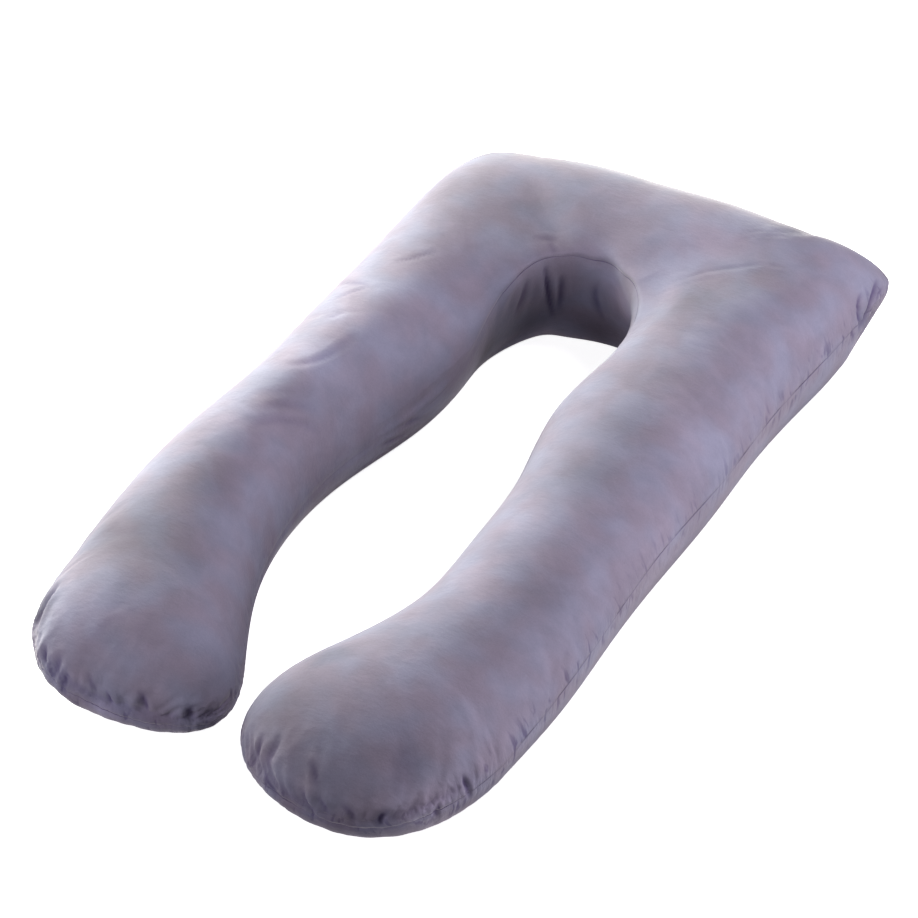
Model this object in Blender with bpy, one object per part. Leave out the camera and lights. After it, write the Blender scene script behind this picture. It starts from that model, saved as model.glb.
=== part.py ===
"""U-shaped body pillow: two velvet panels joined by one seam round the edge, and filled.

Metres, +Z up.  The closed head end is towards +Y and the two arms lie towards -Y.  The pillow rests
on z = 0 with its origin at the bottom centre of its bounding box.
"""

import math
from collections import namedtuple

import bmesh
import bpy
import numpy as np

# One row for each section across the filled tube, from an arm's toe to the head.  A section runs from
# the inner seam, on the side of the gap between the arms, to the outer seam.
#   inner_x, inner_y, outer_x, outer_y  where the seam lies in plan; x is measured out from the middle
#   crown                               height of the top panel above the surface it rests on
#   inner_seam, outer_seam              height of the seam on each side
#   wedge                               1 is a round edge at the outer seam, more draws it to a point
Section = namedtuple("Section", "name inner_x inner_y outer_x outer_y crown inner_seam outer_seam wedge")

LEFT_ARM = (
    Section("toe", 0.060, -0.445, 0.340, -0.470, 0.185, 0.055, 0.080, 1.0),
    Section("calf", 0.125, -0.305, 0.350, -0.305, 0.190, 0.065, 0.095, 1.0),
    Section("thigh", 0.155, -0.160, 0.345, -0.160, 0.195, 0.070, 0.105, 1.0),
    Section("hip", 0.150, -0.015, 0.325, -0.015, 0.200, 0.070, 0.115, 1.0),
    Section("waist", 0.115, 0.125, 0.325, 0.150, 0.205, 0.080, 0.115, 1.0),
    Section("breast", 0.105, 0.235, 0.325, 0.320, 0.205, 0.110, 0.115, 1.0),
    Section("shoulder", 0.100, 0.320, 0.325, 0.475, 0.210, 0.160, 0.115, 1.0),
    Section("ear_side", 0.075, 0.375, 0.320, 0.555, 0.215, 0.185, 0.115, 1.3),
    Section("ear", 0.055, 0.395, 0.305, 0.605, 0.215, 0.185, 0.110, 1.6),
    Section("ear_back", 0.040, 0.405, 0.240, 0.615, 0.220, 0.185, 0.110, 1.3),
    Section("nape_side", 0.020, 0.415, 0.120, 0.630, 0.225, 0.180, 0.110, 1.0),
)
NAPE = Section("nape", 0.0, 0.420, 0.0, 0.635, 0.225, 0.180, 0.115, 1.0)
RIGHT_ARM = (
    Section("toe", 0.040, -0.435, 0.350, -0.470, 0.185, 0.065, 0.085, 1.0),
    Section("calf", 0.100, -0.295, 0.355, -0.305, 0.190, 0.070, 0.105, 1.0),
    Section("thigh", 0.105, -0.160, 0.345, -0.160, 0.195, 0.075, 0.110, 1.0),
    Section("hip", 0.100, -0.020, 0.340, -0.015, 0.200, 0.090, 0.120, 1.0),
    Section("waist", 0.075, 0.120, 0.340, 0.150, 0.205, 0.105, 0.120, 1.0),
    Section("breast", 0.085, 0.235, 0.330, 0.320, 0.205, 0.130, 0.115, 1.0),
    Section("shoulder", 0.095, 0.315, 0.335, 0.475, 0.210, 0.155, 0.115, 1.0),
    Section("ear_side", 0.080, 0.375, 0.340, 0.600, 0.210, 0.170, 0.120, 1.3),
    Section("ear", 0.060, 0.395, 0.325, 0.665, 0.215, 0.180, 0.115, 1.8),
    Section("ear_back", 0.040, 0.405, 0.245, 0.655, 0.220, 0.180, 0.115, 1.3),
    Section("nape_side", 0.020, 0.415, 0.120, 0.645, 0.225, 0.180, 0.115, 1.0),
)

# The rounded end of each arm: its length past the toe section, how square its corners are, and how
# much more it bulges on the outer side.
Toe = namedtuple("Toe", "length square bulge")
LEFT_TOE = Toe(0.170, 0.08, 0.01)
RIGHT_TOE = Toe(0.225, 0.02, 0.04)

TOP_FULLNESS = 0.95  # under 1 gives the top panel a flatter crown and fuller sides
BOTTOM_FULLNESS = 0.975
BOTTOM_DEPTH = 1.25  # the bottom panel would bulge this far below the surface, so that much lies flat

PANEL_STEPS = 16  # quads across a panel
SECTION_STEPS = 4  # quads from one section to the next
TOE_STEPS = 8  # quads along each rounded end

VELVET_COLOUR = (0.30, 0.27, 0.36, 1.0)
VELVET_ROUGHNESS = 0.85


def natural_spline(knots, values, places):
    """Values and slopes at places of the natural cubic spline through values at knots."""
    gaps = np.diff(knots)
    rises = np.diff(values, axis=0) / gaps[:, None]
    count = len(knots)
    matrix = np.eye(count)
    bends = np.zeros_like(values)
    for k in range(1, count - 1):
        matrix[k, k - 1 : k + 2] = gaps[k - 1], 2 * (gaps[k - 1] + gaps[k]), gaps[k]
        bends[k] = 6 * (rises[k] - rises[k - 1])
    bends = np.linalg.solve(matrix, bends)
    span = np.clip(np.searchsorted(knots, places, side="right") - 1, 0, count - 2)
    gap = gaps[span][:, None]
    after = ((places - knots[span])[:, None]) / gap
    before = 1 - after
    curve = (
        before * values[span]
        + after * values[span + 1]
        + gap**2 * ((before**3 - before) * bends[span] + (after**3 - after) * bends[span + 1]) / 6
    )
    slope = (
        rises[span]
        + gap * ((1 - 3 * before**2) * bends[span] + (3 * after**2 - 1) * bends[span + 1]) / 6
    )
    return curve, slope


def section_rows():
    """The sections as numbers, from the left toe over the head to the right toe, with x signed."""
    left = [(-s.inner_x, s.inner_y, -s.outer_x, *s[4:]) for s in LEFT_ARM]
    right = [s[1:] for s in reversed(RIGHT_ARM)]
    return np.array([*left, NAPE[1:], *right])


def swept_sections(steps):
    """Sections between the rows: steps of them from each row to the next, and their slopes."""
    rows = section_rows()
    hops = np.diff(rows[:, :4], axis=0)
    lengths = (np.hypot(hops[:, 0], hops[:, 1]) + np.hypot(hops[:, 2], hops[:, 3])) / 2
    knots = np.concatenate([[0.0], np.cumsum(lengths)])
    places = np.interp(np.arange((len(rows) - 1) * steps + 1) / steps, np.arange(len(rows)), knots)
    return natural_spline(knots, rows, places)


def panel_points(section, across, height, wedge):
    """Points of the top and bottom panels of one section.

    across runs from -1 at the inner seam to 1 at the outer seam, and height is 0 at the seam and 1
    along the middle of the panel.
    """
    inner, outer = section[0:2], section[2:4]
    crown, inner_seam, outer_seam = section[4:7]
    plan = (inner + outer) / 2 + across[:, None] * (outer - inner) / 2
    seam = inner_seam * (1 - across) / 2 + outer_seam * (1 + across) / 2
    power = np.where(across > 0, wedge, 1.0)
    top = seam + (crown - seam) * height ** (power * TOP_FULLNESS)
    bottom = np.maximum(0.0, seam * (1 - BOTTOM_DEPTH * height ** (power * BOTTOM_FULLNESS)))
    return plan, top, bottom


def toe_points(section, slope, toe, across, along):
    """Points of both panels on one ring of an arm's rounded end, along from 0 at the arm to 1."""
    inner_way, outer_way = slope[0:2], slope[2:4]
    inner_way = inner_way / np.linalg.norm(inner_way)
    outer_way = outer_way / np.linalg.norm(outer_way)
    reach = math.sin(math.pi * along / 2)
    side = across * math.sqrt(1 - reach * reach / 2)
    forward = reach * np.sqrt(1 - across * across / 2)
    turn = np.arctan2(forward, side)
    corner = np.sin(2 * turn)
    swell = 1 + toe.square * corner**2 + toe.bulge * corner * np.sin(turn) ** 2
    way = (1 - side)[:, None] / 2 * inner_way + (1 + side)[:, None] / 2 * outer_way
    height = np.sqrt(np.maximum(0.0, 1 - across * across)) * max(0.0, math.cos(math.pi * along / 2))
    _, top, bottom = panel_points(section, side, height, 1.0)
    inner, outer = section[0:2], section[2:4]
    plan = (inner + outer) / 2 + (side * swell)[:, None] * (outer - inner) / 2
    plan += (forward * swell)[:, None] * way * toe.length
    return plan, top, bottom


def pillow_grids(section_steps, panel_steps, toe_steps):
    """Top and bottom panel points, as grids of rings along the pillow by points across it."""
    sections, slopes = swept_sections(section_steps)
    across = np.sin(np.linspace(-math.pi / 2, math.pi / 2, panel_steps + 1))
    height = np.sqrt(np.maximum(0.0, 1 - across * across))
    rings = [
        toe_points(sections[0], -slopes[0], LEFT_TOE, across, step / toe_steps)
        for step in range(toe_steps, 0, -1)
    ]
    rings += [panel_points(section, across, height, section[7]) for section in sections]
    rings += [
        toe_points(sections[-1], slopes[-1], RIGHT_TOE, across, step / toe_steps)
        for step in range(1, toe_steps + 1)
    ]
    top = np.array([np.column_stack([plan, high]) for plan, high, low in rings])
    bottom = np.array([np.column_stack([plan, low]) for plan, high, low in rings])
    middle = (top.min(axis=(0, 1)) + top.max(axis=(0, 1))) / 2
    middle[2] = 0.0
    return top - middle, bottom - middle


def pillow_mesh():
    """One closed mesh: the two panels share their seam and each arm's last ring."""
    top, bottom = pillow_grids(SECTION_STEPS, PANEL_STEPS, TOE_STEPS)
    last_ring, last_point = top.shape[0] - 1, top.shape[1] - 1
    bm = bmesh.new()
    top_verts = [[bm.verts.new(point) for point in ring] for ring in top]
    bottom_verts = [
        [
            top_verts[i][j] if i in (0, last_ring) or j in (0, last_point) else bm.verts.new(bottom[i][j])
            for j in range(last_point + 1)
        ]
        for i in range(last_ring + 1)
    ]
    for i in range(last_ring):
        for j in range(last_point):
            for grid in (top_verts, bottom_verts):
                bm.faces.new((grid[i][j], grid[i + 1][j], grid[i + 1][j + 1], grid[i][j + 1]))
    bmesh.ops.recalc_face_normals(bm, faces=bm.faces)
    mesh = bpy.data.meshes.new("pillow")
    bm.to_mesh(mesh)
    bm.free()
    for polygon in mesh.polygons:
        polygon.use_smooth = True
    return mesh


def velvet_material():
    material = bpy.data.materials.new("pillow_velvet")
    material.use_nodes = True
    shader = material.node_tree.nodes["Principled BSDF"]
    shader.inputs["Base Color"].default_value = VELVET_COLOUR
    shader.inputs["Roughness"].default_value = VELVET_ROUGHNESS
    shader.inputs["Metallic"].default_value = 0.0
    return material


def main():
    for existing in list(bpy.data.objects):
        bpy.data.objects.remove(existing)
    mesh = pillow_mesh()
    mesh.materials.append(velvet_material())
    pillow = bpy.data.objects.new("pillow", mesh)
    bpy.context.collection.objects.link(pillow)


main()
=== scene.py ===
"""Looks of the U-shaped body pillow: its velvet cover, and the studio it is shown in.

Metres, +Z up.  The closed head end is towards +Y and the two arms lie towards -Y.  The cover is laid
out as two panels, top and bottom, that meet at one seam.  It is drawn at its filled shape, settled
by a cloth simulation that gathers the fabric along the seam, and then given its seam, tucks and folds.
"""

import math
from collections import namedtuple

import bpy
import numpy as np
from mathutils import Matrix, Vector
from mathutils.bvhtree import BVHTree
from mathutils.kdtree import KDTree


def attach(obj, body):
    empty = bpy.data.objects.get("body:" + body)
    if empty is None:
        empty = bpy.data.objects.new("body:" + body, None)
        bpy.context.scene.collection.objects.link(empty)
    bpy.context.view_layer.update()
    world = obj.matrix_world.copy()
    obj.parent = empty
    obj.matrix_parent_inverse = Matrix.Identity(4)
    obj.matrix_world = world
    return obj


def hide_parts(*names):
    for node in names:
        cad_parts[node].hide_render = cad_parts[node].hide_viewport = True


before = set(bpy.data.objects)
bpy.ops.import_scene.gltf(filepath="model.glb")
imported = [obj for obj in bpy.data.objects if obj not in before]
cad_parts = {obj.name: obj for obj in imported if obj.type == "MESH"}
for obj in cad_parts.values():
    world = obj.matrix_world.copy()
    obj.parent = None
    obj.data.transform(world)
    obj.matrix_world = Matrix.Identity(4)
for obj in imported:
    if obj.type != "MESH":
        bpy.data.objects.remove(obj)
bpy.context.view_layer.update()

bl_info = {
    "name": "Body Pillow",
    "version": (1, 0, 0),
    "blender": (4, 5, 0),
    "location": "View3D > Sidebar > Body Pillow",
    "description": "A U-shaped velvet body pillow and the studio that it is shown in",
    "category": "Add Mesh",
}

CAD_NODE = "pillow"
CAD_BODY = "root"

# One row for each section across the filled tube, from an arm's toe to the head.  A section runs from
# the inner seam, on the side of the gap between the arms, to the outer seam.
#   inner_x, inner_y, outer_x, outer_y  where the seam lies in plan; x is measured out from the middle
#   crown                               height of the top panel above the surface it rests on
#   inner_seam, outer_seam              height of the seam on each side
#   wedge                               1 is a round edge at the outer seam, more draws it to a point
Section = namedtuple("Section", "name inner_x inner_y outer_x outer_y crown inner_seam outer_seam wedge")

LEFT_ARM = (
    Section("toe", 0.060, -0.445, 0.340, -0.470, 0.185, 0.055, 0.080, 1.0),
    Section("calf", 0.125, -0.305, 0.350, -0.305, 0.190, 0.065, 0.095, 1.0),
    Section("thigh", 0.155, -0.160, 0.345, -0.160, 0.195, 0.070, 0.105, 1.0),
    Section("hip", 0.150, -0.015, 0.325, -0.015, 0.200, 0.070, 0.115, 1.0),
    Section("waist", 0.115, 0.125, 0.325, 0.150, 0.205, 0.080, 0.115, 1.0),
    Section("breast", 0.105, 0.235, 0.325, 0.320, 0.205, 0.110, 0.115, 1.0),
    Section("shoulder", 0.100, 0.320, 0.325, 0.475, 0.210, 0.160, 0.115, 1.0),
    Section("ear_side", 0.075, 0.375, 0.320, 0.555, 0.215, 0.185, 0.115, 1.3),
    Section("ear", 0.055, 0.395, 0.305, 0.605, 0.215, 0.185, 0.110, 1.6),
    Section("ear_back", 0.040, 0.405, 0.240, 0.615, 0.220, 0.185, 0.110, 1.3),
    Section("nape_side", 0.020, 0.415, 0.120, 0.630, 0.225, 0.180, 0.110, 1.0),
)
NAPE = Section("nape", 0.0, 0.420, 0.0, 0.635, 0.225, 0.180, 0.115, 1.0)
RIGHT_ARM = (
    Section("toe", 0.040, -0.435, 0.350, -0.470, 0.185, 0.065, 0.085, 1.0),
    Section("calf", 0.100, -0.295, 0.355, -0.305, 0.190, 0.070, 0.105, 1.0),
    Section("thigh", 0.105, -0.160, 0.345, -0.160, 0.195, 0.075, 0.110, 1.0),
    Section("hip", 0.100, -0.020, 0.340, -0.015, 0.200, 0.090, 0.120, 1.0),
    Section("waist", 0.075, 0.120, 0.340, 0.150, 0.205, 0.105, 0.120, 1.0),
    Section("breast", 0.085, 0.235, 0.330, 0.320, 0.205, 0.130, 0.115, 1.0),
    Section("shoulder", 0.095, 0.315, 0.335, 0.475, 0.210, 0.155, 0.115, 1.0),
    Section("ear_side", 0.080, 0.375, 0.340, 0.600, 0.210, 0.170, 0.120, 1.3),
    Section("ear", 0.060, 0.395, 0.325, 0.665, 0.215, 0.180, 0.115, 1.8),
    Section("ear_back", 0.040, 0.405, 0.245, 0.655, 0.220, 0.180, 0.115, 1.3),
    Section("nape_side", 0.020, 0.415, 0.120, 0.645, 0.225, 0.180, 0.115, 1.0),
)

# The rounded end of each arm: its length past the toe section, how square its corners are, and how
# much more it bulges on the outer side.
Toe = namedtuple("Toe", "length square bulge")
LEFT_TOE = Toe(0.170, 0.08, 0.01)
RIGHT_TOE = Toe(0.225, 0.02, 0.04)

TOP_FULLNESS = 0.95  # under 1 gives the top panel a flatter crown and fuller sides
BOTTOM_FULLNESS = 0.975
BOTTOM_DEPTH = 1.25  # the bottom panel would bulge this far below the surface, so that much lies flat

SEAM_TOUCH = 0.0001  # a point nearer than this to the seam is on it
SURFACE_TOUCH = 0.0005  # a point lower than this lies on the surface under the pillow
LYING_HEIGHT = 0.010  # below this height the cloth is pressed flat by degrees
GIRTH_STEPS = 40  # halvings of the range in which a section's loose width is looked for
TINY = 1e-12  # keeps a length that is divided by away from nothing

CLOTH_STEPS = 5  # steps of the cloth simulation in each frame
CLOTH_MASS = 0.05
CLOTH_STRETCH = 30.0  # how hard the cloth is to stretch or press together
CLOTH_SHEAR = 10.0
CLOTH_BENDING = 0.001
SMOOTHING = 0.5  # how far one pass of smoothing moves a point

# How loose the panels are cut beside the seam, from 0 to 1, on each side of each arm.
Looseness = namedtuple("Looseness", "name left_inner left_outer right_inner right_outer")
LOOSENESS = (
    Looseness("toe", 0.90, 1.00, 0.90, 1.00),
    Looseness("calf", 0.60, 0.90, 0.60, 0.90),
    Looseness("thigh", 0.40, 0.70, 0.40, 0.80),
    Looseness("hip", 0.35, 0.60, 0.30, 0.70),
    Looseness("waist", 0.30, 0.60, 0.20, 0.70),
    Looseness("breast", 0.20, 0.60, 0.10, 0.80),
    Looseness("shoulder", 0.10, 0.60, 0.05, 0.90),
    Looseness("ear_side", 0.05, 0.60, 0.05, 1.00),
    Looseness("ear", 0.00, 0.60, 0.00, 1.00),
    Looseness("ear_back", 0.00, 0.35, 0.00, 0.50),
    Looseness("nape_side", 0.00, 0.10, 0.00, 0.15),
)
NAPE_LOOSENESS = (0.0, 0.10)
LOOSE_ENOUGH = 0.5  # cloth at least this loose keeps all of its relief
TIGHT_RELIEF = 0.15  # share of the relief that tight cloth keeps

# Where the seam lies lower than the widest line of the cloth, and by how much.
SeamDrop = namedtuple("SeamDrop", "name place reach drop")
SEAM_DROPS = (
    SeamDrop("left_end", (-0.14, -0.62, 0.07), 0.085, 0.019),
    SeamDrop("left_end_inner", (-0.04, -0.56, 0.07), 0.060, 0.010),
    SeamDrop("right_end", (0.24, -0.65, 0.08), 0.080, 0.024),
)

# Folds and puckers over and above the simulated ones.  Each runs in an arc from start through middle
# to end, and is laid on the cloth.  It is a valley of that depth and half width, or a ridge where
# depth is under 0.
# A valley, where depth is over 0, also gets painted shade: the steeper it is, the darker.
Fold = namedtuple("Fold", "start middle end depth width")
# The elbow of the left arm.
ELBOW_FOLDS = (
    Fold((-0.25, -0.02, 0.2), (-0.22, 0.01, 0.2), (-0.205, 0.07, 0.2), 0.0013, 0.006),
    Fold((-0.23, -0.11, 0.19), (-0.21, -0.085, 0.19), (-0.19, -0.06, 0.17), 0.001, 0.006),
    Fold((-0.22, -0.12, 0.19), (-0.2, -0.095, 0.18), (-0.18, -0.065, 0.16), -0.0009, 0.004),
    Fold((-0.225, -0.15, 0.19), (-0.205, -0.11, 0.18), (-0.175, -0.075, 0.15), 0.0012, 0.006),
)
# The left arm above the elbow, and its inner side.
UPPER_FOLDS = (
    Fold((-0.31, 0.205, 0.16), (-0.275, 0.19, 0.19), (-0.25, 0.185, 0.2), 0.001, 0.004),
    Fold((-0.275, 0.15, 0.19), (-0.26, 0.165, 0.2), (-0.245, 0.18, 0.2), 0.001, 0.004),
    Fold((-0.265, 0.1, 0.2), (-0.255, 0.1, 0.2), (-0.245, 0.11, 0.2), 0.0012, 0.005),
    Fold((-0.24, 0.25, 0.2), (-0.22, 0.27, 0.205), (-0.205, 0.295, 0.205), 0.001, 0.004),
    Fold((-0.12, 0.11, 0.065), (-0.125, 0.095, 0.07), (-0.13, 0.085, 0.07), 0.0015, 0.004),
    Fold((-0.13, 0.08, 0.05), (-0.135, 0.06, 0.055), (-0.14, 0.04, 0.06), 0.0015, 0.004),
)
# The rounded end of the left arm.
LEFT_END_FOLDS = (
    Fold((-0.3, -0.44, 0.16), (-0.28, -0.42, 0.175), (-0.24, -0.41, 0.185), 0.001, 0.016),
    Fold((-0.31, -0.52, 0.14), (-0.31, -0.545, 0.125), (-0.31, -0.565, 0.11), 0.004, 0.006),
    Fold((-0.275, -0.6, 0.105), (-0.275, -0.605, 0.095), (-0.27, -0.605, 0.09), 0.0035, 0.004),
    Fold((-0.245, -0.61, 0.11), (-0.25, -0.615, 0.095), (-0.255, -0.615, 0.07), 0.003, 0.006),
    Fold((-0.23, -0.62, 0.095), (-0.235, -0.62, 0.08), (-0.235, -0.62, 0.06), 0.003, 0.004),
    Fold((-0.195, -0.62, 0.105), (-0.19, -0.62, 0.095), (-0.185, -0.62, 0.085), 0.002, 0.005),
    Fold((-0.165, -0.62, 0.09), (-0.165, -0.62, 0.08), (-0.165, -0.62, 0.065), 0.003, 0.004),
    Fold((-0.12, -0.61, 0.1), (-0.115, -0.61, 0.085), (-0.115, -0.61, 0.07), 0.0035, 0.005),
    Fold((-0.06, -0.585, 0.085), (-0.06, -0.585, 0.075), (-0.055, -0.585, 0.06), 0.003, 0.005),
)
# The rounded end of the right arm.
RIGHT_END_FOLDS = (
    Fold((0.07, -0.62, 0.12), (0.07, -0.63, 0.105), (0.065, -0.635, 0.09), 0.003, 0.005),
    Fold((0.1, -0.625, 0.125), (0.095, -0.64, 0.11), (0.1, -0.65, 0.095), 0.0035, 0.007),
    Fold((0.09, -0.645, 0.095), (0.1, -0.655, 0.08), (0.12, -0.66, 0.07), 0.003, 0.005),
    Fold((0.16, -0.64, 0.13), (0.17, -0.65, 0.125), (0.175, -0.655, 0.115), 0.0022, 0.005),
    Fold((0.16, -0.665, 0.1), (0.165, -0.665, 0.09), (0.175, -0.67, 0.07), 0.0025, 0.005),
    Fold((0.185, -0.665, 0.1), (0.195, -0.665, 0.09), (0.195, -0.665, 0.075), 0.0025, 0.005),
    Fold((0.22, -0.66, 0.1), (0.23, -0.66, 0.09), (0.23, -0.66, 0.07), 0.0025, 0.005),
    Fold((0.27, -0.64, 0.095), (0.265, -0.645, 0.085), (0.265, -0.645, 0.07), 0.0045, 0.005),
    Fold((0.33, -0.545, 0.11), (0.335, -0.545, 0.095), (0.335, -0.54, 0.075), 0.0028, 0.004),
    Fold((0.315, -0.59, 0.085), (0.315, -0.59, 0.075), (0.315, -0.585, 0.065), 0.0022, 0.004),
    Fold((0.26, -0.57, 0.155), (0.27, -0.595, 0.14), (0.275, -0.615, 0.12), 0.003, 0.018),
)
# Hollows along and under the seam at both ends.
END_HOLLOWS = (
    Fold((-0.27, -0.605, 0.1), (-0.19, -0.625, 0.075), (-0.12, -0.615, 0.07), 0.003, 0.01),
    Fold((-0.12, -0.615, 0.07), (-0.055, -0.585, 0.065), (-0.03, -0.52, 0.065), 0.003, 0.01),
    Fold((0.045, -0.615, 0.1), (0.125, -0.66, 0.085), (0.21, -0.665, 0.08), 0.003, 0.01),
    Fold((0.225, -0.66, 0.075), (0.295, -0.62, 0.09), (0.335, -0.53, 0.1), 0.0026, 0.01),
    Fold((-0.205, -0.625, 0.065), (-0.135, -0.615, 0.065), (-0.06, -0.585, 0.055), 0.005, 0.018),
    Fold((0.145, -0.665, 0.065), (0.23, -0.66, 0.06), (0.31, -0.595, 0.06), 0.0045, 0.018),
)
# The right ear.
EAR_FOLDS = (
    Fold((0.325, 0.615, 0.14), (0.335, 0.59, 0.135), (0.335, 0.55, 0.11), 0.005, 0.005),
    Fold((0.325, 0.565, 0.15), (0.33, 0.55, 0.14), (0.335, 0.55, 0.11), 0.003, 0.004),
    Fold((0.335, 0.62, 0.13), (0.335, 0.61, 0.13), (0.335, 0.6, 0.125), 0.0025, 0.004),
    Fold((0.335, 0.6, 0.1), (0.33, 0.585, 0.085), (0.33, 0.565, 0.075), 0.005, 0.018),
)
# The rim and the wall of the neck hole; the last is the swell at its right corner.
NECK_FOLDS = (
    Fold((-0.095, 0.4, 0.2), (-0.085, 0.405, 0.2), (-0.075, 0.41, 0.2), 0.0008, 0.005),
    Fold((-0.08, 0.405, 0.2), (-0.07, 0.395, 0.195), (-0.065, 0.39, 0.195), 0.001, 0.005),
    Fold((-0.07, 0.375, 0.17), (-0.07, 0.385, 0.12), (-0.075, 0.405, 0.065), 0.003, 0.004),
    Fold((-0.075, 0.37, 0.165), (-0.08, 0.375, 0.135), (-0.085, 0.375, 0.095), -0.0016, 0.006),
    Fold((-0.09, 0.355, 0.155), (-0.09, 0.35, 0.13), (-0.1, 0.345, 0.105), 0.0024, 0.005),
    Fold((-0.065, 0.385, 0.155), (-0.065, 0.39, 0.135), (-0.065, 0.395, 0.105), -0.0014, 0.005),
    Fold((-0.055, 0.395, 0.145), (-0.06, 0.4, 0.115), (-0.065, 0.405, 0.08), 0.0025, 0.005),
    Fold((-0.095, 0.335, 0.165), (-0.1, 0.32, 0.145), (-0.105, 0.31, 0.12), -0.0016, 0.007),
    Fold((-0.015, 0.42, 0.13), (-0.015, 0.42, 0.105), (-0.01, 0.43, 0.075), 0.0022, 0.005),
    Fold((0.0, 0.42, 0.145), (0.005, 0.42, 0.115), (0.01, 0.425, 0.085), -0.0018, 0.006),
    Fold((0.06, 0.395, 0.14), (0.085, 0.345, 0.13), (0.085, 0.25, 0.1), -0.013, 0.028),
)
ARM_FOLDS = (*ELBOW_FOLDS, *UPPER_FOLDS, *LEFT_END_FOLDS, *RIGHT_END_FOLDS, *END_HOLLOWS)
FOLDS = (*ARM_FOLDS, *EAR_FOLDS, *NECK_FOLDS)
FOLD_STEPS = 24  # short straight runs that make up a fold's arc
FOLD_REACH = 4  # a fold is felt this far from its arc, in half widths
FOLD_TAPER = 0.06  # how far along its taper a fold starts and ends
FOLD_LIP = 0.35  # how far the cloth beside a valley stands up, as a share of its depth
LIP_PLACE = 2.0  # how far from a fold's arc that lip lies, in half widths
LIP_WIDTH = 0.8  # half width of the lip, in half widths of the fold
# The painted shade in a fold is strongest at this steepness.
STEEP_FOLD = 0.75  # a valley this deep for its width, or deeper, is as dark as cloth gets in a fold
BOTTOM_RELIEF = 0.3  # share of its relief that the bottom panel keeps, as it is pulled tighter

# Broad patches where the cloth looks lighter or darker.  Some are pile that a hand has brushed one way,
# and
# some are painted light and shade: the bright corner, edge and top of the neck hole's wall, the shaded
# lower wall, the highlight along the ridge beside the hole, and the undersides at the ends of the arms.
# change is how much lighter (over 0) or darker (under 0) the cloth looks there, and reach is the
# distance at which that has faded to a third.
Patch = namedtuple("Patch", "name place reach change")
NAP_AND_PAINTED_LIGHT_PATCHES = (
    Patch("left_tip", (-0.31, -0.54, 0.11), 0.03, -0.50),
    Patch("left_calf_outer", (-0.27, -0.41, 0.17), 0.08, -0.40),
    Patch("left_calf", (-0.18, -0.44, 0.19), 0.06, -0.15),
    Patch("left_thigh", (-0.23, -0.28, 0.19), 0.05, -0.20),
    Patch("left_end_outer", (-0.23, -0.56, 0.15), 0.05, 0.15),
    Patch("left_elbow_low", (-0.25, -0.14, 0.18), 0.04, 0.30),
    Patch("left_elbow", (-0.22, 0.00, 0.20), 0.04, 0.50),
    Patch("left_elbow_high", (-0.23, 0.10, 0.20), 0.04, 0.25),
    Patch("left_upper", (-0.22, 0.19, 0.20), 0.05, 0.20),
    Patch("below_elbow", (-0.18, -0.02, 0.19), 0.05, -0.20),
    Patch("left_arm_inner", (-0.15, 0.00, 0.09), 0.08, 0.15),
    Patch("head_corner", (-0.26, 0.44, 0.20), 0.06, -0.20),
    Patch("head_left", (-0.12, 0.44, 0.21), 0.09, -0.25),
    Patch("head_back", (0.21, 0.60, 0.20), 0.04, -0.35),
    # Painted highlight along the ridge right of the neck hole, with painted shade beside it.
    Patch("ridge_high", (0.13, 0.49, 0.21), 0.05, 0.30),
    Patch("ridge_low", (0.10, 0.40, 0.20), 0.04, 0.35),
    Patch("beside_ridge_high", (0.21, 0.47, 0.21), 0.05, -0.20),
    Patch("beside_ridge_low", (0.16, 0.38, 0.21), 0.05, -0.35),
    Patch("right_breast_high", (0.19, 0.20, 0.20), 0.05, -0.15),
    Patch("right_breast", (0.22, 0.09, 0.20), 0.05, -0.25),
    Patch("right_hip", (0.22, -0.02, 0.20), 0.05, -0.25),
    Patch("right_hip_in", (0.19, -0.14, 0.19), 0.04, 0.20),
    Patch("right_back", (0.28, 0.12, 0.19), 0.05, 0.15),
    Patch("right_side", (0.34, -0.02, 0.11), 0.06, 0.15),
    Patch("right_waist_in", (0.20, -0.27, 0.19), 0.05, 0.30),
    Patch("right_waist", (0.26, -0.26, 0.19), 0.06, -0.25),
    Patch("right_calf", (0.25, -0.37, 0.19), 0.05, -0.15),
    Patch("right_rim", (0.09, -0.48, 0.16), 0.03, -0.30),
    Patch("right_end_in", (0.08, -0.58, 0.14), 0.06, -0.30),
    Patch("right_end", (0.19, -0.64, 0.12), 0.09, -0.30),
    Patch("right_end_out", (0.28, -0.57, 0.14), 0.05, -0.20),
    # Painted light on the undersides at the ends of the arms.
    Patch("right_end_under", (0.30, -0.60, 0.07), 0.04, 0.80),
    Patch("left_end_under", (-0.18, -0.62, 0.05), 0.02, 0.60),
    # Painted light on the corner, edge and top of the neck hole's wall, and painted shade on the wall
    # below.
    Patch("hole_corner", (0.04, 0.41, 0.13), 0.03, 1.00),
    Patch("hole_edge", (0.07, 0.37, 0.11), 0.03, 1.00),
    Patch("wall_top", (0.00, 0.42, 0.17), 0.03, 0.50),
    Patch("wall_left_high", (-0.10, 0.33, 0.13), 0.04, -0.30),
    Patch("wall_left", (-0.12, 0.29, 0.06), 0.05, -0.60),
    Patch("wall_left_low", (-0.09, 0.37, 0.06), 0.05, -0.60),
    Patch("wall_low", (-0.02, 0.44, 0.03), 0.05, -0.50),
    Patch("ear", (0.33, 0.57, 0.12), 0.02, -0.30),
)

# Stretches where the pile covers the seam's line.
SEAM_COVERED = (
    Patch("left_end", (-0.05, -0.47, 0.06), 0.100, -0.90),
    Patch("left_calf", (-0.13, -0.31, 0.07), 0.110, -0.90),
    Patch("left_thigh", (-0.15, -0.13, 0.07), 0.110, -0.90),
    Patch("left_hip", (-0.14, 0.04, 0.08), 0.110, -0.90),
    Patch("left_breast", (-0.11, 0.22, 0.11), 0.110, -0.90),
)


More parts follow.
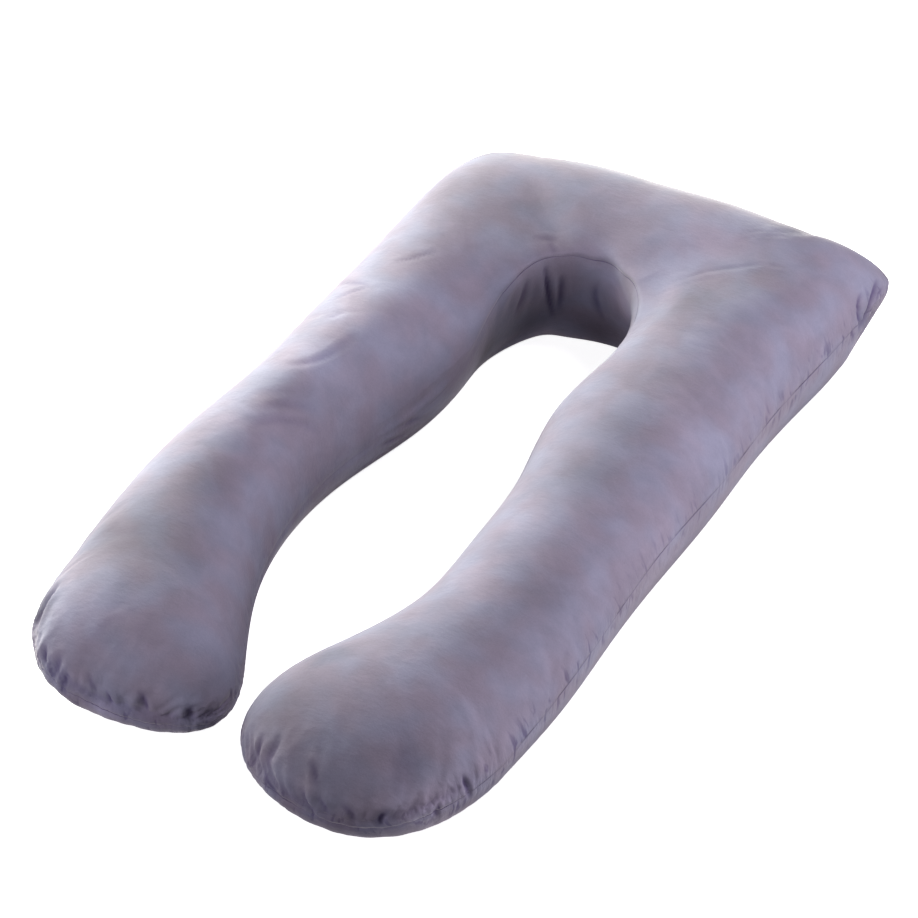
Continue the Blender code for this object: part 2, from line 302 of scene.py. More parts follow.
# How the sidebar shows each kind of number that the user can set, and its limits.
LENGTH = {"unit": "LENGTH", "min": 0.0, "precision": 4}
FINE_LENGTH = {"unit": "LENGTH", "min": 0.0, "precision": 5}
SHARE = {"subtype": "FACTOR", "min": 0.0, "max": 1.0}
AMOUNT = {"min": 0.0}
POWER = {"unit": "POWER", "min": 0.0}
ANGLE = {"subtype": "ANGLE"}
FOCAL_LENGTH = {"subtype": "DISTANCE_CAMERA", "min": 1.0}


def number(kind, name, description, default, **limits):
    """A number that the user can set, of one of the kinds above."""
    kind = {**kind, **limits}
    return bpy.props.FloatProperty(name=name, description=description, default=default, **kind)


def whole_number(name, description, default, least):
    """A whole number that the user can set."""
    return bpy.props.IntProperty(name=name, description=description, default=default, min=least)


def colour_value(name, description, default):
    """A colour that the user can set."""
    look = {"subtype": "COLOR", "size": 3, "min": 0.0, "max": 1.0}
    return bpy.props.FloatVectorProperty(name=name, description=description, default=default, **look)


class PillowShape(bpy.types.PropertyGroup):
    """Sizes of the cover's mesh, its seam and its tucks."""

    ring_spacing: number(
        LENGTH,
        "Ring Spacing",
        "Distance between rings of the mesh, on the longer side of the pillow",
        0.0064,
        min=0.002,
    )
    toe_spacing: number(
        LENGTH,
        "Toe Spacing",
        "Distance between rings of the mesh at the rounded end of each arm",
        0.0036,
        min=0.002,
    )
    panel_steps: whole_number("Panel Steps", "Quads across each panel", 80, 16)
    loose_height: number(
        SHARE,
        "Loose Height",
        "Height of the cover before it is filled, as a share of its filled height",
        0.78,
        min=0.5,
    )
    pressure: number(AMOUNT, "Filling Pressure", "Pressure of the filling on the cloth", 20.0)
    filling_frames: whole_number(
        "Filling Frames",
        "Frames of cloth simulation in which the seam is drawn in to its filled place",
        8,
        2,
    )
    settling_frames: whole_number(
        "Settling Frames", "Frames of cloth simulation after the seam is in place", 6, 0
    )
    smoothing_passes: whole_number(
        "Smoothing Passes",
        "Passes of smoothing that part the cloth's fine relief from its broad shape",
        60,
        1,
    )
    relief_at_seam: number(
        SHARE, "Relief At Seam", "Share of the simulated relief that is kept beside the seam", 0.8
    )
    relief_away: number(
        SHARE, "Relief Away", "Share of the simulated relief that is kept away from the seam", 0.3
    )
    relief_reach: number(
        LENGTH,
        "Relief Reach",
        "Distance from the seam over which the one share passes into the other",
        0.06,
        min=0.001,
    )
    seam_depth: number(
        LENGTH, "Seam Depth", "How far the seam is drawn in below the cloth beside it", 0.0018
    )
    seam_width: number(
        LENGTH, "Seam Width", "Half width of the groove along the seam", 0.0045, min=0.001
    )
    relief_limit: number(
        LENGTH, "Relief Limit", "The furthest that the relief may move a point of the cloth", 0.012
    )


def natural_spline(knots, values, places):
    """Values and slopes at places of the natural cubic spline through values at knots."""
    gaps = np.diff(knots)
    rises = np.diff(values, axis=0) / gaps[:, None]
    count = len(knots)
    matrix = np.eye(count)
    bends = np.zeros_like(values)
    for k in range(1, count - 1):
        matrix[k, k - 1 : k + 2] = gaps[k - 1], 2 * (gaps[k - 1] + gaps[k]), gaps[k]
        bends[k] = 6 * (rises[k] - rises[k - 1])
    bends = np.linalg.solve(matrix, bends)
    span = np.clip(np.searchsorted(knots, places, side="right") - 1, 0, count - 2)
    gap = gaps[span][:, None]
    after = ((places - knots[span])[:, None]) / gap
    before = 1 - after
    curve = (
        before * values[span]
        + after * values[span + 1]
        + gap**2 * ((before**3 - before) * bends[span] + (after**3 - after) * bends[span + 1]) / 6
    )
    slope = (
        rises[span]
        + gap * ((1 - 3 * before**2) * bends[span] + (3 * after**2 - 1) * bends[span + 1]) / 6
    )
    return curve, slope


def section_rows():
    """The sections as numbers, from the left toe over the head to the right toe, with x signed."""
    left = [(-s.inner_x, s.inner_y, -s.outer_x, *s[4:]) for s in LEFT_ARM]
    right = [s[1:] for s in reversed(RIGHT_ARM)]
    return np.array([*left, NAPE[1:], *right])


def looseness_rows():
    """How loose the inner and the outer side of each section is, in the same order."""
    left = [(row.left_inner, row.left_outer) for row in LOOSENESS]
    right = [(row.right_inner, row.right_outer) for row in reversed(LOOSENESS)]
    return np.array([*left, NAPE_LOOSENESS, *right])


def half_girth(half_width, height):
    """Length over one half of an ellipse, by Ramanujan's formula."""
    flatness = ((half_width - height) / (half_width + height)) ** 2
    correction = 1 + 3 * flatness / (10 + np.sqrt(4 - 3 * flatness))
    return math.pi / 2 * (half_width + height) * correction


def widened_by(half_width, height, lower_height):
    """How much half of a section widens when it gets lower and keeps its girth."""
    girth = half_girth(half_width, height)
    least, most = half_width, half_width + height
    for _ in range(GIRTH_STEPS):
        middle = (least + most) / 2
        fits = half_girth(middle, lower_height) < girth
        least, most = np.where(fits, middle, least), np.where(fits, most, middle)
    return (least + most) / 2 - half_width


def loosened(rows, loose_height):
    """The sections before the cover is filled, lower and wider, and how much each half widens."""
    loose = looseness_rows()
    share = 1 - (1 - loose_height) * loose.max(axis=1)
    across = rows[:, 2:4] - rows[:, 0:2]
    width = np.linalg.norm(across, axis=1)
    seam = (rows[:, 5] + rows[:, 6]) / 2
    height = rows[:, 4] - seam
    widening = widened_by(width / 2, height, share * height)
    parts = 2 * loose / loose.sum(axis=1, keepdims=True)
    outwards = across / width[:, None] * widening[:, None]
    result = rows.copy()
    result[:, 0:2] -= outwards * parts[:, :1]
    result[:, 2:4] += outwards * parts[:, 1:]
    result[:, 4] = seam + share * height
    return result, widening


def swept_sections(rows, spacing):
    """Sections and slopes at that spacing along the longer side of the filled pillow."""
    hops = np.diff(section_rows()[:, :4], axis=0)
    inner_hops = np.hypot(hops[:, 0], hops[:, 1])
    outer_hops = np.hypot(hops[:, 2], hops[:, 3])
    knots = np.concatenate([[0.0], np.cumsum((inner_hops + outer_hops) / 2)])
    longer = np.concatenate([[0.0], np.cumsum(np.maximum(inner_hops, outer_hops))])
    count = round(longer[-1] / spacing)
    places = np.interp(np.linspace(0.0, longer[-1], count + 1), longer, knots)
    return natural_spline(knots, rows, places)


def panel_points(section, across, height, wedge, bottom_depth):
    """Points of the top and bottom panels of one section.

    across runs from -1 at the inner seam to 1 at the outer seam, and height is 0 at the seam and 1
    along the middle of the panel.  bottom_depth is how far below the surface the bottom panel would
    bulge, as a share of its seam's height.
    """
    inner, outer = section[0:2], section[2:4]
    crown, inner_seam, outer_seam = section[4:7]
    plan = (inner + outer) / 2 + across[:, None] * (outer - inner) / 2
    seam = inner_seam * (1 - across) / 2 + outer_seam * (1 + across) / 2
    power = np.where(across > 0, wedge, 1.0)
    top = seam + (crown - seam) * height ** (power * TOP_FULLNESS)
    bottom = np.maximum(0.0, seam * (1 - bottom_depth * height ** (power * BOTTOM_FULLNESS)))
    return plan, top, bottom


def toe_points(section, slope, toe, across, along, bottom_depth):
    """Points of both panels on one ring of an arm's rounded end, along from 0 at the arm to 1."""
    inner_way, outer_way = slope[0:2], slope[2:4]
    inner_way = inner_way / np.linalg.norm(inner_way)
    outer_way = outer_way / np.linalg.norm(outer_way)
    reach = math.sin(math.pi * along / 2)
    side = across * math.sqrt(1 - reach * reach / 2)
    forward = reach * np.sqrt(1 - across * across / 2)
    turn = np.arctan2(forward, side)
    corner = np.sin(2 * turn)
    swell = 1 + toe.square * corner**2 + toe.bulge * corner * np.sin(turn) ** 2
    way = (1 - side)[:, None] / 2 * inner_way + (1 + side)[:, None] / 2 * outer_way
    height = np.sqrt(np.maximum(0.0, 1 - across * across)) * max(0.0, math.cos(math.pi * along / 2))
    _, top, bottom = panel_points(section, side, height, 1.0, bottom_depth)
    inner, outer = section[0:2], section[2:4]
    plan = (inner + outer) / 2 + (side * swell)[:, None] * (outer - inner) / 2
    plan += (forward * swell)[:, None] * way * toe.length
    return plan, top, bottom


def toe_steps(toe, shape):
    return round(toe.length * math.pi / 2 / shape.toe_spacing)


def pillow_grids(shape, filled):
    """Top and bottom panel points, filled or loose, as rings along the pillow by points across it."""
    rows, longer_toes, bottom_depth = section_rows(), (0.0, 0.0), BOTTOM_DEPTH
    if not filled:
        rows, widening = loosened(rows, shape.loose_height)
        longer_toes = widening[0], widening[-1]
        bottom_depth = max(1.0, BOTTOM_DEPTH * shape.loose_height)
    sections, slopes = swept_sections(rows, shape.ring_spacing)
    across = np.sin(np.linspace(-math.pi / 2, math.pi / 2, shape.panel_steps + 1))
    height = np.sqrt(np.maximum(0.0, 1 - across * across))
    left_toe = LEFT_TOE._replace(length=LEFT_TOE.length + longer_toes[0])
    right_toe = RIGHT_TOE._replace(length=RIGHT_TOE.length + longer_toes[1])
    left_steps, right_steps = toe_steps(LEFT_TOE, shape), toe_steps(RIGHT_TOE, shape)
    rings = [
        toe_points(sections[0], -slopes[0], left_toe, across, step / left_steps, bottom_depth)
        for step in range(left_steps, 0, -1)
    ]
    rings += [
        panel_points(section, across, height, section[7], bottom_depth)
        for section in sections
    ]
    rings += [
        toe_points(sections[-1], slopes[-1], right_toe, across, step / right_steps, bottom_depth)
        for step in range(1, right_steps + 1)
    ]
    top = np.array([np.column_stack([plan, high]) for plan, high, low in rings])
    bottom = np.array([np.column_stack([plan, low]) for plan, high, low in rings])
    return top, bottom


class Cover:
    """The cover's mesh as arrays: its points, its quads and what is known of each point."""

    def __init__(self, shape):
        top, bottom = pillow_grids(shape, filled=True)
        loose_top, loose_bottom = pillow_grids(shape, filled=False)
        middle = (top.min(axis=(0, 1)) + top.max(axis=(0, 1))) / 2 * (1, 1, 0)
        rings, points = top.shape[:2]
        self.top = np.arange(rings * points).reshape(rings, points)
        self.bottom = self.top.copy()
        inside = (rings - 2) * (points - 2)
        self.bottom[1:-1, 1:-1] = rings * points + np.arange(inside).reshape(rings - 2, points - 2)
        self.count = rings * points + inside
        self.filled = self.spread(top, bottom) - middle
        self.loose = self.spread(loose_top, loose_bottom) - middle
        self.seam = self.seam_loop()
        gather = self.gather_grid(shape, rings, points)
        self.gather = self.spread(gather, gather)
        self.quads = np.concatenate(
            [self.panel_quads(self.top), self.panel_quads(self.bottom)[:, ::-1]],
        )
        self.surface = BVHTree.FromPolygons(self.filled.tolist(), self.quads.tolist())

    @staticmethod
    def gather_grid(shape, rings, points):
        """How much the panels are gathered at each point of a grid, from how loose they were cut."""
        loose, _ = swept_sections(looseness_rows(), shape.ring_spacing)
        before = toe_steps(LEFT_TOE, shape)
        after = rings - before - len(loose)
        loose = np.concatenate([loose[:1].repeat(before, 0), loose, loose[-1:].repeat(after, 0)])
        share = (1 + np.sin(np.linspace(-math.pi / 2, math.pi / 2, points))) / 2
        return loose[:, :1] * (1 - share) + loose[:, 1:] * share

    def spread(self, top, bottom):
        """Values on the two grids, as one value for each point of the mesh."""
        values = np.empty((self.count, *top.shape[2:]))
        values[self.bottom] = bottom
        values[self.top] = top
        return values

    @staticmethod
    def panel_quads(grid):
        quads = np.stack([grid[:-1, :-1], grid[1:, :-1], grid[1:, 1:], grid[:-1, 1:]], axis=-1)
        return quads.reshape(-1, 4)

    def seam_loop(self):
        """The seam's points in order, once round the pillow."""
        grid = self.top
        return np.concatenate([grid[0, :-1], grid[:-1, -1], grid[-1, :0:-1], grid[:0:-1, 0]])

    def laid_on(self, line):
        """The places on the filled cloth that are nearest to the points of a line."""
        return np.array([self.surface.find_nearest(point)[0] for point in line])

    def seam_line(self):
        """The seam's course: round the widest line of the cloth, and lower at the ends of the arms."""
        line = self.filled[self.seam]
        drop = np.zeros(len(line))
        for row in SEAM_DROPS:
            gap = np.linalg.norm(line - np.array(row.place), axis=1) / row.reach
            drop += row.drop * np.exp(-(gap**2))
        line[:, 2] -= drop
        return self.laid_on(line)

    def seam_coordinates(self, line):
        """For each point, how far it is from the seam's line, how far along the line, and how high
        the nearest place on the line is."""
        places = self.filled
        ahead = np.roll(line, -1, axis=0) - line
        lengths = np.linalg.norm(ahead, axis=1)
        starts = np.concatenate([[0.0], np.cumsum(lengths)[:-1]])
        tree = KDTree(len(line))
        for k, point in enumerate(line):
            tree.insert(point, k)
        tree.balance()
        nearest = np.array([tree.find(point)[1] for point in places])
        best = np.full(len(places), np.inf)
        along = np.zeros(len(places))
        level = np.zeros(len(places))
        for span in (nearest, (nearest - 1) % len(line)):
            share = np.einsum("ij,ij->i", places - line[span], ahead[span]) / lengths[span] ** 2
            share = np.clip(share, 0.0, 1.0)
            foot = line[span] + share[:, None] * ahead[span]
            gap = np.linalg.norm(places - foot, axis=1)
            closer = gap < best
            best = np.where(closer, gap, best)
            along = np.where(closer, starts[span] + share * lengths[span], along)
            level = np.where(closer, foot[:, 2], level)
        return best, along, level, lengths.sum()


def select_only(piece):
    bpy.ops.object.select_all(action="DESELECT")
    piece.select_set(True)
    bpy.context.view_layer.objects.active = piece


def read_places(mesh):
    places = np.empty(len(mesh.vertices) * 3)
    mesh.vertices.foreach_get("co", places)
    return places.reshape(-1, 3)


def cover_object(name, places, quads):
    mesh = bpy.data.meshes.new(name)
    mesh.from_pydata(places.tolist(), [], quads.tolist())
    mesh.polygons.foreach_set("use_smooth", [True] * len(mesh.polygons))
    mesh.update()
    piece = bpy.data.objects.new(name, mesh)
    bpy.context.collection.objects.link(piece)
    return piece


def remove_object(piece):
    mesh = piece.data
    bpy.data.objects.remove(piece)
    bpy.data.meshes.remove(mesh)


def fill_with_cloth(cover, shape, distance):
    """Where the cloth comes to lie when the loose cover is filled and its seam draws in.

    The seam and the fabric that lies on the surface are held, and move from their loose to their
    filled places.  The rest is free, so it gathers along the seam and wrinkles as it fills.
    """
    piece = cover_object("loose_cover", cover.loose, cover.quads)
    held = (distance < SEAM_TOUCH) | (cover.filled[:, 2] < SURFACE_TOUCH)
    piece.vertex_groups.new(name="held").add(np.nonzero(held)[0].tolist(), 1.0, "REPLACE")
    piece.shape_key_add(name="loose")
    filled = piece.shape_key_add(name="filled")
    filled.data.foreach_set("co", cover.filled.ravel())
    filled.value = 0.0
    filled.keyframe_insert("value", frame=1)
    filled.value = 1.0
    filled.keyframe_insert("value", frame=shape.filling_frames)
    cloth = piece.modifiers.new("Cloth", "CLOTH")
    settings = cloth.settings
    settings.quality = CLOTH_STEPS
    settings.mass = CLOTH_MASS
    settings.tension_stiffness = settings.compression_stiffness = CLOTH_STRETCH
    settings.shear_stiffness = CLOTH_SHEAR
    settings.bending_stiffness = CLOTH_BENDING
    settings.use_pressure = True
    settings.uniform_pressure_force = shape.pressure
    settings.vertex_group_mass = "held"
    settings.effector_weights.gravity = 0.0
    cloth.collision_settings.use_collision = False
    last_frame = shape.filling_frames + shape.settling_frames
    cloth.point_cache.frame_start = 1
    cloth.point_cache.frame_end = last_frame
    for moment in range(1, last_frame + 1):
        bpy.context.scene.frame_set(moment)
    places = read_places(piece.evaluated_get(bpy.context.evaluated_depsgraph_get()).data)
    bpy.context.scene.frame_set(1)
    remove_object(piece)
    return places


def smoothed(cover, places, passes):
    """The same cloth after so many passes of smoothing."""
    piece = cover_object("smoothed_cover", places, cover.quads)
    smooth = piece.modifiers.new("Smooth", "SMOOTH")
    smooth.factor = SMOOTHING
    smooth.iterations = passes
    select_only(piece)
    bpy.ops.object.modifier_apply(modifier=smooth.name)
    result = read_places(piece.data)
    remove_object(piece)
    return result


def smooth_step(low, high, values):
    """0 below low, 1 above high, and a smooth passage between them."""
    share = np.clip((values - low) / (high - low), 0.0, 1.0)
    return share * share * (3 - 2 * share)


def cloth_relief(cover, shape, distance):
    """The fine relief that filling gives the cloth: tucks and drag folds, without broad bulging."""
    settled = fill_with_cloth(cover, shape, distance)
    passes = shape.smoothing_passes
    bulge = smoothed(cover, settled, passes) - smoothed(cover, cover.filled, passes)
    relief = settled - cover.filled - bulge
    away = smooth_step(0.0, shape.relief_reach, distance)
    relief *= (shape.relief_at_seam * (1 - away) + shape.relief_away * away)[:, None]
    relief *= smooth_step(0.0, LYING_HEIGHT, cover.filled[:, 2])[:, None]
    loose = smooth_step(0.0, LOOSE_ENOUGH, cover.gather)
    relief *= (TIGHT_RELIEF + (1 - TIGHT_RELIEF) * loose)[:, None]
    relief[cover.bottom[1:-1, 1:-1].ravel()] *= BOTTOM_RELIEF
    size = np.linalg.norm(relief, axis=1)
    return relief * np.minimum(1.0, shape.relief_limit / np.maximum(size, SEAM_TOUCH))[:, None]


def add_attribute(mesh, name, values):
    """Keeps a value for each point with the mesh, for the velvet to read."""
    mesh.attributes.new(name, "FLOAT", "POINT").data.foreach_set("value", values)


def add_seam_map(mesh, along, above, seam_length):
    """A UV map of metres: how far round the seam the cloth lies, and how far above it or below."""
    corners = np.empty(len(mesh.loops), dtype=np.int32)
    mesh.loops.foreach_get("vertex_index", corners)
    across = above[corners]
    round_it = along[corners].reshape(-1, 4)
    farthest = round_it.max(axis=1, keepdims=True)
    round_it = np.where(farthest - round_it > seam_length / 2, round_it + seam_length, round_it)
    places = np.column_stack([round_it.ravel(), across])
    mesh.uv_layers.new(name="seam").data.foreach_set("uv", places.ravel())


def point_normals(cover):
    """The cloth's outward direction at each point of its filled shape."""
    corners = cover.filled[cover.quads]
    facing = np.cross(corners[:, 2] - corners[:, 0], corners[:, 3] - corners[:, 1])
    normals = np.zeros_like(cover.filled)
    for corner in range(4):
        np.add.at(normals, cover.quads[:, corner], facing)
    size = np.linalg.norm(normals, axis=1, keepdims=True)
    return normals / np.maximum(size, TINY)


def patched(places, patches):
    """What the patches leave of 1 at each place."""
    share = np.ones(len(places))
    for patch in patches:
        gap = np.linalg.norm(places - np.array(patch.place), axis=1) / patch.reach
        share *= 1 + patch.change * np.exp(-(gap**2))
    return share


def fold_arc(fold):
    """Points along a fold, from its start through its middle to its end."""
    start, middle, end = (np.array(place) for place in (fold.start, fold.middle, fold.end))
    share = np.linspace(0.0, 1.0, FOLD_STEPS + 1)[:, None]
    pull = 2 * middle - (start + end) / 2
    return (1 - share) ** 2 * start + 2 * share * (1 - share) * pull + share**2 * end


def folded(cover):
    """How far the folds sink each point of the cloth, and how much painted shade they lay on it, from 0
    to 1.
    """
    places = cover.filled
    sunk = np.zeros(len(places))
    painted_shade = np.zeros(len(places))
    for fold in FOLDS:
        arc = cover.laid_on(fold_arc(fold))
        reach = FOLD_REACH * fold.width
        near = np.nonzero(
            np.all((places > arc.min(axis=0) - reach) & (places < arc.max(axis=0) + reach), axis=1)
        )[0]
        if not len(near):
            continue
        gaps = np.linalg.norm(places[near, None, :] - arc[None], axis=2)
        gap = gaps.min(axis=1) / fold.width
        along = FOLD_TAPER + (1 - 2 * FOLD_TAPER) * gaps.argmin(axis=1) / FOLD_STEPS
        taper = np.sqrt(np.sin(math.pi * along))
        valley = np.exp(-(gap**2))
        lip = np.exp(-(((gap - LIP_PLACE) / LIP_WIDTH) ** 2))
        sunk[near] += fold.depth * taper * (valley - FOLD_LIP * lip)
        # A valley gets painted shade, the more the steeper it is.
        if fold.depth > 0:
            shade = min(1.0, fold.depth / fold.width / STEEP_FOLD) * taper * valley
            painted_shade[near] = np.maximum(painted_shade[near], shade)
    return sunk, painted_shade


class BODYPILLOW_OT_add_cover(bpy.types.Operator):
    """Adds the pillow's filled velvet cover in place of its plain solid"""

    bl_idname = "body_pillow.add_cover"
    bl_label = "Add Velvet Cover"

    def execute(self, context):
        shape = context.scene.body_pillow_shape
        cover = Cover(shape)
        distance, _, _, _ = cover.seam_coordinates(cover.filled[cover.seam])
        places = cover.filled.copy()
        places += cloth_relief(cover, shape, distance)
        sunk, painted_shade = folded(cover)
        distance, along, level, seam_length = cover.seam_coordinates(cover.seam_line())
        sunk += shape.seam_depth * np.exp(-((distance / shape.seam_width) ** 2))
        sunk *= smooth_step(0.0, LYING_HEIGHT, cover.filled[:, 2])
        places -= sunk[:, None] * point_normals(cover)
        places[:, 2] = np.maximum(places[:, 2], 0.0)
        piece = cover_object("pillow_cover", places, cover.quads)
        mesh = piece.data
        # Painted shade in the folds.
        add_attribute(mesh, "painted_fold_shade", painted_shade)
        # Lighter and darker patches of the cloth: partly brushed pile, partly painted light and shade.
        add_attribute(mesh, "nap_and_painted_light", patched(cover.filled, NAP_AND_PAINTED_LIGHT_PATCHES))
        add_attribute(mesh, "seam_shown", patched(cover.filled, SEAM_COVERED))
        add_attribute(mesh, "gather", cover.gather)
        above = np.where(cover.filled[:, 2] >= level, distance, -distance)
        add_seam_map(mesh, along, above, seam_length)
        mesh.materials.append(velvet_material(context.scene.body_pillow_velvet))
        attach(piece, CAD_BODY)
        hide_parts(CAD_NODE)
        return {"FINISHED"}


class VelvetFinish(bpy.types.PropertyGroup):
    """Colours and pile of the velvet, and the strength of the painted shade in its folds."""

    mauve: colour_value(
        "Mauve", "Colour of the pile where it leans to the warmer side", (0.265, 0.235, 0.3)
    )
    slate: colour_value(
        "Slate", "Colour of the pile where it leans to the cooler side", (0.24, 0.24, 0.32)
    )
    sheen_tint: colour_value(
        "Sheen Tint", "Colour of the light that the tips of the pile scatter", (1.0, 0.97, 0.98)
    )
    sheen: number(SHARE, "Sheen", "Strength of the light that the tips of the pile scatter", 0.5)
    nap_contrast: number(
        SHARE,
        "Nap Contrast",
        "How much lighter or darker the pile gets where it was brushed one way or the other",
        0.08,
    )
    nap_relief: number(
        FINE_LENGTH, "Nap Relief", "Height of the soft unevenness of the brushed pile", 0.0006
    )
    streak_relief: number(
        FINE_LENGTH, "Streak Relief", "Height of the finest brush marks in the pile", 0.00045
    )
    tuck_relief: number(LENGTH, "Tuck Relief", "Height of the fine tucks beside the seam", 0.002)
    # How much painted shade the folds and the seam lay on the cloth.
    painted_crease_shade: number(
        SHARE, "Crease Shade", "How much darker the cloth is deep in a fold and along the seam", 0.7
    )
    pile_relief: number(FINE_LENGTH, "Pile Relief", "Height of the tufts of the pile", 0.00012)


NOISE_RANGE = (0.3, 0.7)  # the range that noise mostly keeps to
BROKEN = 3.0  # detail of noise with small bits in it
EVEN = 2.0  # detail of noise that is more even
PLAIN = 1.0  # detail of noise that is soft all over
NAP_PATCH = 0.060  # size of the patches in which the pile leans one way
NAP_WARP = 0.5  # how far the patches are bent out of shape
NAP_STREAK = 0.018  # size of the brush marks within them
STREAK_TURN = math.radians(30)  # the way the brush marks run, turned from the pillow's width
STREAK_STRETCH = 1.9  # how much longer than wide the brush marks are
STREAK_WARP = 0.4  # how far the brush marks are bent out of shape
PILE_TUFT = 0.0022  # size of the tufts
TUFT_CONTRAST = 0.03  # how much lighter or darker a tuft is
HUE_PATCH = 0.060  # size of the warmer and cooler patches
TUCK_SPACING = 0.011  # from one fine tuck at the seam to the next
TUCK_LENGTH = 0.036  # how far a fine tuck runs into the cloth
TUCK_REACH = 0.050  # distance from the seam at which the tucks have died out
TUCK_WARP = 0.3  # how far the fine tucks are bent out of shape
# The tucks get painted shade where their noise is low.
TUCK_EDGE = 0.46  # the noise that makes the tucks is in shade below this value
TUCK_FLOOR = 0.32  # and darkest at this one
TUCK_SHADE = 0.75  # how dark the tucks are, next to a deep fold
SEAM_LINE = 0.0018  # half width of the darker line along the seam: partly the line its stitches draw in, partly painted shade in its groove
SEAM_STRETCH = 0.09  # length of the stretches in which the seam's line shows more or less
SEAM_FAINT = 0.25  # how dark the line is where it shows least
STREAK_SHARE = 0.7  # height of the brush marks, next to that of the patches
STREAK_CONTRAST = 1 / 3  # how much they lighten or darken, next to the patches
FINE_STREAK = 0.0055  # size of the finest brush marks
PILE_ROUGHNESS = 0.95
PILE_GLOSS = 0.15
SHEEN_ROUGHNESS = 0.4
# The tint of the painted shade in folds, tucks and along the seam.
PAINTED_SHADE_RGB = (0.92, 1.0, 0.72)  # how much a fold darkens each of red, green and blue


class Nodes:
    """Adds nodes to a material's tree and links them as they are added."""

    def __init__(self, material):
        material.use_nodes = True
        self.tree = material.node_tree

    def set(self, node, inputs):
        for name, value in inputs.items():
            if isinstance(value, bpy.types.NodeSocket):
                self.tree.links.new(value, node.inputs[name])
            else:
                node.inputs[name].default_value = value

    def add(self, kind, inputs=None, output=0, **settings):
        node = self.tree.nodes.new("ShaderNode" + kind)
        for name, value in settings.items():
            setattr(node, name, value)
        self.set(node, inputs or {})
        return node.outputs[output]

    def noise(self, places, size, detail, distortion=0.0):
        inputs = {"Vector": places, "Scale": 1 / size, "Detail": detail, "Distortion": distortion}
        return self.add("TexNoise", inputs, output="Fac")

    def ramp(self, value, start, end, low=0.0, high=1.0):
        """A smooth passage from low to high while a value goes from start to end."""
        inputs = {"Value": value, "From Min": start, "From Max": end, "To Min": low, "To Max": high}
        return self.add("MapRange", inputs, interpolation_type="SMOOTHSTEP")

    def spread(self, value, low, high):
        """A value brought from the range that noise keeps to into low to high."""
        return self.ramp(value, *NOISE_RANGE, low, high)

    def math(self, operation, first, second):
        return self.add("Math", {0: first, 1: second}, operation=operation)

    def times(self, first, second):
        return self.math("MULTIPLY", first, second)

    def rest(self, value):
        """What a value leaves of 1."""
        return self.math("SUBTRACT", 1.0, value)

    def attribute(self, name):
        """A value that the mesh keeps for each of its points."""
        return self.add("Attribute", output="Fac", attribute_name=name)

    def bumps(self, *layers):
        """The surface's direction with layers of relief, each a height and its size, laid on it."""
        normal = {}
        for height, distance in layers:
            inputs = {"Height": height, "Distance": distance, "Strength": 1.0, **normal}
            normal = {"Normal": self.add("Bump", inputs, output="Normal")}
        return normal["Normal"]


def nap_streaks(nodes, size, detail):
    """Brush marks in the pile: noise drawn out along the way that the pile was brushed."""
    places = nodes.add("TexCoord", output="Object")
    turned = nodes.add(
        "Mapping",
        {
            "Vector": places,
            "Rotation": (0.0, 0.0, -STREAK_TURN),
            "Scale": (1 / STREAK_STRETCH, 1.0, 1.0),
        },
        vector_type="POINT",
    )
    return nodes.noise(turned, size, detail, STREAK_WARP)


def seam_tucks(nodes):
    """Fine tucks that run in from the seam, the painted shade in them, and the seam's darker line,
    partly its stitches and partly painted shade in its groove.
    """
    seam_map = nodes.add("UVMap", output="UV", uv_map="seam")
    scaled = nodes.add(
        "VectorMath",
        {0: seam_map, 1: (1 / TUCK_SPACING, 1 / TUCK_LENGTH, 0.0)},
        operation="MULTIPLY",
    )
    raw = nodes.noise(scaled, 1.0, EVEN, TUCK_WARP)
    distance = nodes.math("ABSOLUTE", nodes.add("SeparateXYZ", {"Vector": seam_map}, output="Y"), 0.0)
    fade = nodes.ramp(distance, 0.0, TUCK_REACH, 1.0, 0.0)
    share = nodes.times(fade, nodes.math("POWER", nodes.attribute("gather"), 2.0))
    tucks = nodes.times(raw, share)
    painted_tuck_shade = nodes.times(nodes.ramp(raw, TUCK_EDGE, TUCK_FLOOR), nodes.times(share, TUCK_SHADE))
    line = nodes.rest(nodes.ramp(distance, 0.0, SEAM_LINE))
    stretched = nodes.add("VectorMath", {0: seam_map, "Scale": 1 / SEAM_STRETCH}, operation="SCALE")
    stretches = nodes.spread(nodes.noise(stretched, 1.0, PLAIN), SEAM_FAINT, 1.0)
    line = nodes.times(line, nodes.times(stretches, nodes.attribute("seam_shown")))
    # The seam's line and the tucks' painted shade, taken together.
    return tucks, nodes.math("MAXIMUM", line, painted_tuck_shade), line


